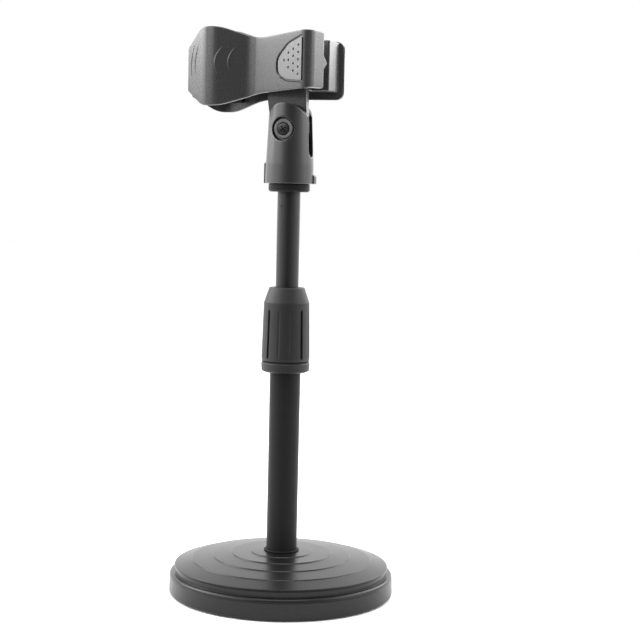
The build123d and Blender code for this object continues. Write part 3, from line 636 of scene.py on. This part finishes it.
def make_fork():
    """Moulded fork: tapered barrel with an arched top, slot, stops and recessed screw seats.
    Each stop has a reach along X, a height, a width and a shift along Y."""
    arch, foot = FORK_TOP - ARCH_HEIGHT, FORK_FOOT_RADIUS
    barrel = turned([(0.01, FORK_FOOT), (foot - 0.4, FORK_FOOT), (foot, FORK_FOOT + 0.4),
                     (foot - 0.1, FORK_FOOT + 12.0), (FORK_TOP_RADIUS, FORK_TOP),
                     (0.01, FORK_TOP)], steps=256)
    below, over = FORK_FOOT - SCREW_HEIGHT, FORK_TOP - SCREW_HEIGHT
    side = foot + 0.2
    outline = [(-side, below), (side, below), (side, over - arch), (arch, over - arch),
               (arch, over), (-arch, over), (-arch, over - arch), (-side, over - arch)]
    combine(barrel, [stack(outline, [0, 0, 0, 0, arch - 0.1, arch - 0.1, 0, 0],
                           [(-20, 0), (20, 0)], SCREW_FRAME)], "INTERSECT")
    stops = []
    for reach, height, width, aside in FORK_STOPS:
        corners = [(reach * 0.6, below), (reach, below), (reach, below + height),
                   (reach * 0.6, below + height)]
        stops.append(stack(corners, [0, 0, STOP_ROUND, 0],
                           [(-aside - width / 2, 0), (-aside + width / 2, 0)], SCREW_FRAME))
    combine(barrel, stops, "UNION")
    insert = box_mm("thread_insert")[1]
    slot_frame = place((0, 0, SLOT_BOTTOM), (0, 1, 0), (0, 0, 1))
    slot_corners = [(-SLOT_HALF, 0), (SLOT_HALF, 0), (SLOT_HALF, SLOT_HEIGHT),
                    (-SLOT_HALF, SLOT_HEIGHT)]
    corner_turns = [math.radians(60 * corner) for corner in range(6)]
    nut_corners = [(NUT_SIZE * math.cos(turn), NUT_SIZE * math.sin(turn)) for turn in corner_turns]
    cuts = [
        stack(slot_corners, [SLOT_HALF - 0.01] * 2 + [0, 0], [(-PAST, 0), (PAST, 0)], slot_frame,
              SLOT_HEIGHT),
        disc(insert.x, FORK_FOOT - 1.0, insert.z),
        disc(SCREW_HOLE, -PAST, PAST, SCREW_FRAME, 32),
        disc(SEAT_RADIUS, HEAD_SEAT, 20, SCREW_FRAME),
        stack(nut_corners, [0] * 6, [(-20, 0), (-HEAD_SEAT, 0)], SCREW_FRAME),
    ]
    combine(barrel, cuts, "DIFFERENCE")
    grid = barrel.modifiers.new("grid", "REMESH")
    grid.mode = "VOXEL"
    grid.voxel_size = FORK_GRID * MM
    relax = barrel.modifiers.new("relax", "SMOOTH")
    relax.factor = 0.5
    relax.iterations = 5
    settle(barrel)
    dress(barrel, "fork_moulding", "fork_plastic", "pole", ["fork"], 60.0)


def make_tilt_screw():
    """Domed screw head with a cross recess in a plain raised ring."""
    end = -box_mm("tilt_screw")[1].y
    head_top = HEAD_SEAT + HEAD_HEIGHT
    outer = [(0.01, end), (SHANK_RADIUS, end), (SHANK_RADIUS, HEAD_SEAT), (HEAD_RADIUS, HEAD_SEAT),
             (HEAD_RADIUS, head_top - 0.35), (0.01, head_top)]
    screw = turned(rounded_outline(outer, [0.2, 0, 0.2, 0.8], 1.0), SCREW_FRAME, 64)
    bar = [(-CROSS_REACH, -CROSS_HALF), (CROSS_REACH, -CROSS_HALF), (CROSS_REACH, CROSS_HALF),
           (-CROSS_REACH, CROSS_HALF)]
    for turn in (CROSS_TURN, CROSS_TURN + math.pi / 2):
        across = Vector((math.cos(turn), 0, math.sin(turn)))
        where = place((0, 0, SCREW_HEIGHT), across, across.cross(Vector((0, 1, 0))))
        levels = [(head_top - CROSS_DEPTH, 0.2), (head_top + 1, -0.1)]
        combine(screw, [stack(bar, [0.3] * 4, levels, where)], "DIFFERENCE")
    dress(screw, "tilt_screw_head", "black_steel", "pole", ["tilt_screw"], 35.0)
    ring_top = HEAD_SEAT + SEAT_RING_HEIGHT
    ring_bore = HEAD_RADIUS + 0.1
    outer = [(ring_bore, HEAD_SEAT), (SEAT_RING_RADIUS, HEAD_SEAT), (SEAT_RING_RADIUS, ring_top),
             (ring_bore + 0.3, ring_top), (ring_bore, ring_top - 0.4)]
    ring = turned(rounded_outline(outer, [0, 0, 0.35, 0.2, 0.1], 1.0, True), SCREW_FRAME, 96)
    dress(ring, "screw_seat_ring", "pad_plastic", "pole", ["screw_washer"], 50.0)


make_adapter()
make_fork()
make_tilt_screw()

# ---------------------------------------------------------------- clip
WALL = 2.6
TIP, CREST, WAIST = (-69.4, 3.0), (-49.3, 17.0), (-23.2, 8.0)
FOLD_START, FOLD_END, WALL_END = (18.3, 26.3), (22.9, 24.0), (24.8, 9.0)
NEAR_RADII = [13.0, 11.0, 5.0, 5.0]
FAR_RADII = [13.0, 11.0]
HANDLE_SLOPE = (FOLD_START[1] - WAIST[1]) / (FOLD_START[0] - WAIST[0])
CLIP_MIDDLE = 328.0
HINGE_X = -19.0
OUTER_RIM, INNER_RIM, END_RIM = 0.8, 0.5, 0.95
JAW_TOP = [(-69.8, 329), (-69.6, 339.0), (-55.5, 351.7), (-42.5, 351.7), (-19.0, 344.2)]
JAW_BOTTOM = [(-69.8, 323), (-69.6, 313.4), (-54.5, 303.4), (-42.5, 303.4), (-19.0, 310.9)]
JAW_RADII = [2.5, 12, 34, 40]
FAR_DROP = 2.7
NEAR_CORNER, FAR_CORNER = 6.0, 4.5
PANEL_END = 23.8
PIN_RADIUS = 1.5
HINGE_FRAME = place((HINGE_X, 0, 0), (1, 0, 0), (0, 1, 0))
PIN_HOLE_ENDS = (300, 360)


def limit_line(points, radii):
    """Heights of an arm's upper or lower limit, as (x, height) points in order of x."""
    line = rounded_outline(points, radii, 0.5)
    return [p.x for p in line], [p.y for p in line]


def arm_shell(plan, plan_radii, top, bottom, corner_radii, side):
    """Bent wall of one arm, with rounded rims and rounded ends."""
    top, bottom = limit_line(top, corner_radii), limit_line(bottom, corner_radii)
    plan = [Vector((x, y, 0)) for x, y in plan]
    plan[0] += (plan[1] - plan[0]).normalized() * END_RIM
    plan[-1] += (plan[-2] - plan[-1]).normalized() * END_RIM
    line = rounded_line(plan, plan_radii, 0.8)

    quarter = [math.pi / 2 * k / 4 for k in range(5)]
    between = [share / 8 for share in range(1, 8)]

    def section(point, inward, inset):
        """Loop of points round the wall at one place along the arm."""
        loop = []
        outer, inner = max(OUTER_RIM - inset, 0.1), max(INNER_RIM - inset, 0.1)
        wall = WALL - 2 * inset

        def add(across, rise, share):
            """Point at a depth in the wall, from the lower rim (share 0) to the upper (1)."""
            spot = point + inward * (inset + across)
            low = np.interp(spot.x, *bottom) + inset + rise
            high = np.interp(spot.x, *top) - inset - rise
            loop.append((spot.x, side * spot.y, low + share * (high - low)))

        for turn in quarter:
            add(outer * (1 - math.sin(turn)), outer * (1 - math.cos(turn)), 0)
        for share in between:
            add(0.0, outer, share)
        for turn in quarter:
            add(outer * (1 - math.cos(turn)), outer * (1 - math.sin(turn)), 1)
        for turn in quarter:
            add(wall - inner * (1 - math.sin(turn)), inner * (1 - math.cos(turn)), 1)
        for share in reversed(between):
            add(wall, inner, share)
        for turn in quarter:
            add(wall - inner * (1 - math.cos(turn)), inner * (1 - math.sin(turn)), 0)
        return loop

    def directions_at(index):
        """Unit vectors into the wall and along the arm at one point of its line."""
        ahead = line[min(index + 1, len(line) - 1)] - line[max(index - 1, 0)]
        return Vector((ahead.y, -ahead.x, 0)).normalized(), ahead.normalized()

    end_turns = [math.radians(turn) for turn in (0, 30, 60)]
    end_steps = [(END_RIM * math.cos(turn), END_RIM * (1 - math.sin(turn))) for turn in end_turns]
    inward, ahead = directions_at(0)
    loops = [section(line[0] - ahead * out, inward, inset) for out, inset in end_steps]
    for index, point in enumerate(line):
        loops.append(section(point, directions_at(index)[0], 0.0))
    inward, ahead = directions_at(len(line) - 1)
    for out, inset in reversed(end_steps):
        loops.append(section(line[-1] + ahead * out, inward, inset))
    return skin(loops)


def handle_frame(side):
    """Frame on a handle's outer face at the fold, first axis along the handle."""
    along = Vector((1, side * HANDLE_SLOPE, 0)).normalized()
    up = Vector((0, 0, -side))
    return place((FOLD_START[0], side * FOLD_START[1], CLIP_MIDDLE), along, up)


PAD_CORNERS = [(-0.9, 17.0), (-14.0, 12.3), (-23.9, 3.5), (-23.2, -6.6), (-15.5, -10.4),
               (-0.9, -11.8)]
PAD_RADII = [2.0, 14.0, 9.0, 7.0, 8.0, 1.5]
PAD_RECESS, PAD_GAP, PAD_DROP = 1.0, 1.1, 0.2
DIMPLES = [(-4.9, 5), (-9.1, 4), (-13.3, 3), (-16.9, 1)]
DIMPLE_RADIUS, DIMPLE_PITCH, DIMPLE_LIFT = 0.75, 4.3, 1.9


def pad_corners(side):
    """Corners of the D-shaped pad in its handle's frame."""
    return [(x, -side * y) for x, y in PAD_CORNERS]


def pad_recess(side):
    """Cutter for the pad's recess, opening out a little at the handle's face."""
    levels = [(-PAD_RECESS, 0.25), (-PAD_RECESS + 0.25, 0.0), (-0.45, 0.0), (0.0, -0.4),
              (0.3, -0.7), (4.0, -0.7)]
    return stack(pad_corners(side), PAD_RADII, levels, handle_frame(side))


def make_grip_pad(side, name, body, stands_for):
    """Pad in a handle: rounded D with a triangle of small dimples."""
    where = handle_frame(side)
    levels = [(height, inset + PAD_GAP) for height, inset in
              rounded_levels(-PAD_RECESS + 0.01, -PAD_DROP, 0.3)]
    pad = stack(pad_corners(side), PAD_RADII, levels, where)
    vertices, faces = [], []
    ball = bmesh.new()
    bmesh.ops.create_uvsphere(ball, u_segments=16, v_segments=10, radius=DIMPLE_RADIUS)
    for column, count in DIMPLES:
        for row in range(count):
            lift = (row - (count - 1) / 2) * DIMPLE_PITCH - side * DIMPLE_LIFT
            spot = Vector((column, lift, -PAD_DROP))
            start = len(vertices)
            vertices += [v.co + spot for v in ball.verts]
            faces += [tuple(start + v.index for v in face.verts) for face in ball.faces]
    ball.free()
    combine(pad, [solid(vertices, faces, where)], "DIFFERENCE")
    dress(pad, name, "pad_plastic", body, [stands_for], 40.0)


NEAR_KNUCKLES = [(319.4, 323.2), (332.8, 336.5)]
FAR_KNUCKLES = [(313.6, 319.0), (336.9, 343.0)]


def knuckle(side, low, high):
    """Hinge knuckle with its web towards the arm on its own side."""
    radius, half, web = 4.0, 2.5, 6.8
    corners = [(HINGE_X - half, side * web), (HINGE_X + half, side * web),
               (HINGE_X + radius, -side * 0.5), (HINGE_X + radius, -side * radius),
               (HINGE_X - radius, -side * radius), (HINGE_X - radius, -side * 0.5)]
    radii = [0, 0, 2.0, radius - 0.01, radius - 0.01, 2.0]
    return stack(corners, radii, rounded_levels(low, high, 0.35))


TAB_HEIGHT, TAB_REACH, TAB_THICKNESS = 329.0, 4.0, 1.6
TAB_ROOT = (-2.0, 5.7)


def make_moving_arm():
    """Near arm: jaw, handle that folds round into an end wall, knuckles and a pointed tab."""
    plan = [TIP, CREST, WAIST, FOLD_START, FOLD_END, WALL_END]
    arm = arm_shell(plan, NEAR_RADII, JAW_TOP + [(18.3, 347.4), (26.5, 347.2)],
                    JAW_BOTTOM + [(18.0, 312.6), (26.5, 314.4)], JAW_RADII + [NEAR_CORNER], -1)
    wall = Vector((WALL_END[0] - FOLD_END[0], FOLD_END[1] - WALL_END[1], 0)).normalized()
    tab_frame = place((WALL_END[0], -WALL_END[1], TAB_HEIGHT), wall, (0, 0, 1))
    root, half = TAB_ROOT
    tab = stack([(root, -half), (TAB_REACH, 0), (root, half)], [0, 0.6, 0],
                rounded_levels(-TAB_THICKNESS, 0, 0.3), tab_frame)
    combine(arm, [knuckle(-1, *ends) for ends in NEAR_KNUCKLES] + [tab], "UNION")
    combine(arm, [disc(PIN_RADIUS + 0.08, *PIN_HOLE_ENDS, HINGE_FRAME, 32), pad_recess(-1)],
            "DIFFERENCE")
    dress(arm, "near_arm", "clip_plastic", "jaw", ["moving_arm"], 38.0)


BLOCK_FRONT, BLOCK_START, BLOCK_END = 7.5, -9.0, 21.6
BLOCK_LOW, BLOCK_HIGH = 313.6, 344.4
BOSS_START, BOSS_END, BOSS_FRONT, BOSS_BACK, BOSS_TOP = -12.3, 10.8, -2.5, 13.0, 318.6
NECK_START, NECK_BOTTOM = -14.8, 309.0
TONGUE_RADIUS, TONGUE_HALF = 12.0, 2.5


def handle_line(x):
    """Distance of a handle's outer face from the clip's middle plane."""
    return WAIST[1] + (x - WAIST[0]) * HANDLE_SLOPE


def make_fixed_arm():
    """Far arm: jaw, handle panel with an inner block, knuckles, boss and tilt tongue."""
    edge_x = PANEL_END + 0.4
    plan = [TIP, CREST, WAIST, (PANEL_END, handle_line(PANEL_END))]
    top = JAW_TOP + [(edge_x, 345.2), (edge_x + 0.01, 335.0)]
    bottom = [(x, z - FAR_DROP) for x, z in JAW_BOTTOM]
    bottom += [(edge_x, 309.1), (edge_x + 0.01, 322.0)]
    arm = arm_shell(plan, FAR_RADII, top, bottom, JAW_RADII + [FAR_CORNER], 1)
    block = stack([(BLOCK_START, BLOCK_FRONT), (BLOCK_END, BLOCK_FRONT),
                   (BLOCK_END, handle_line(BLOCK_END) - 1.5),
                   (BLOCK_START, handle_line(BLOCK_START) - 1.5)],
                  [0.2, 0.9, 0, 0], rounded_levels(BLOCK_LOW, BLOCK_HIGH, 0.7))
    boss = stack([(BOSS_START, BOSS_FRONT), (BOSS_END, BOSS_FRONT), (BOSS_END, BOSS_BACK),
                  (BOSS_START, BOSS_BACK)],
                 [0.8, 0.8, 0, 0], rounded_levels(BLOCK_LOW, BOSS_TOP, 0.5))
    below, above = NECK_BOTTOM - SCREW_HEIGHT, BOSS_TOP - SCREW_HEIGHT
    corners = [(NECK_START, above), (NECK_START, below), (-TONGUE_RADIUS, 0),
               (-TONGUE_RADIUS, -TONGUE_RADIUS), (TONGUE_RADIUS, -TONGUE_RADIUS),
               (TONGUE_RADIUS, 0), (BOSS_END, below), (BOSS_END, above)]
    turn = TONGUE_RADIUS - 0.1
    tongue = stack(corners, [0, 2.0, 0, turn, turn, 0, 2.0, 0],
                   rounded_levels(-TONGUE_HALF, TONGUE_HALF, 0.4), SCREW_FRAME)
    combine(arm, [knuckle(1, *ends) for ends in FAR_KNUCKLES] + [block, boss, tongue], "UNION")
    combine(arm, [disc(PIN_RADIUS + 0.03, *PIN_HOLE_ENDS, HINGE_FRAME, 32),
                  disc(SCREW_HOLE, -PAST, PAST, SCREW_FRAME, 32), pad_recess(1)], "DIFFERENCE")
    dress(arm, "far_arm", "clip_plastic", "clip", ["fixed_arm"], 38.0)


RIDGE_STEPS, RIDGE_SIDES = 24, 10
RIDGE_HALF_WIDTH, RIDGE_HEIGHT = 0.85, 0.27
RIDGE_ARCS = [
    [(-40.4, 339.0), (-44.6, 331.0), (-43.2, 322.8)],
    [(-33.1, 338.8), (-36.7, 331.2), (-35.6, 324.2)],
    [(-58.2, 341.0), (-61.6, 331.5), (-61.0, 323.0)],
    [(-62.6, 341.0), (-65.6, 331.5), (-65.0, 322.0)],
]


def ridge(points):
    """Low rounded ridge along an arc through three (x, height) points on the near jaw."""
    a, b, c = (Vector((x, 0, z)) for x, z in points)
    path = []
    for share in np.linspace(0, 1, RIDGE_STEPS + 1):
        path.append(a * ((1 - share) * (1 - 2 * share)) + b * (4 * share * (1 - share))
                    + c * (share * (2 * share - 1)))
    plan = rounded_outline((TIP, CREST, WAIST), NEAR_RADII[:1], 0.3)
    line = [p.x for p in plan], [p.y for p in plan]
    loops = []
    for index, spot in enumerate(path):
        depth = np.interp(spot.x, *line)
        slope = (np.interp(spot.x + 0.5, *line) - depth) / 0.5
        along = (path[min(index + 1, RIDGE_STEPS)] - path[max(index - 1, 0)]).normalized()
        middle = Vector((spot.x, -depth, spot.z))
        outwards = Vector((-slope, -1, 0)).normalized()
        aside = along.cross(outwards).normalized()
        fade = math.sin(math.pi * (index + 0.6) / (RIDGE_STEPS + 1.2)) ** 0.5
        loop = []
        for turn in range(RIDGE_SIDES):
            angle = 2 * math.pi * turn / RIDGE_SIDES
            loop.append(middle + aside * (RIDGE_HALF_WIDTH * fade * math.cos(angle))
                        + outwards * (RIDGE_HEIGHT * fade * math.sin(angle)))
        loops.append(loop)
    return skin(loops)


def make_ridges():
    """Raised arcs on the near jaw, curved like a grip mark."""
    first, *others = [ridge(points) for points in RIDGE_ARCS]
    combine(first, others, "UNION")
    dress(first, "jaw_ridges", "clip_plastic", "jaw", (), 60.0)


make_moving_arm()
make_fixed_arm()
make_grip_pad(-1, "thumb_pad_soft", "jaw", "thumb_pad")
make_grip_pad(1, "finger_pad_soft", "clip", "finger_pad")
make_ridges()
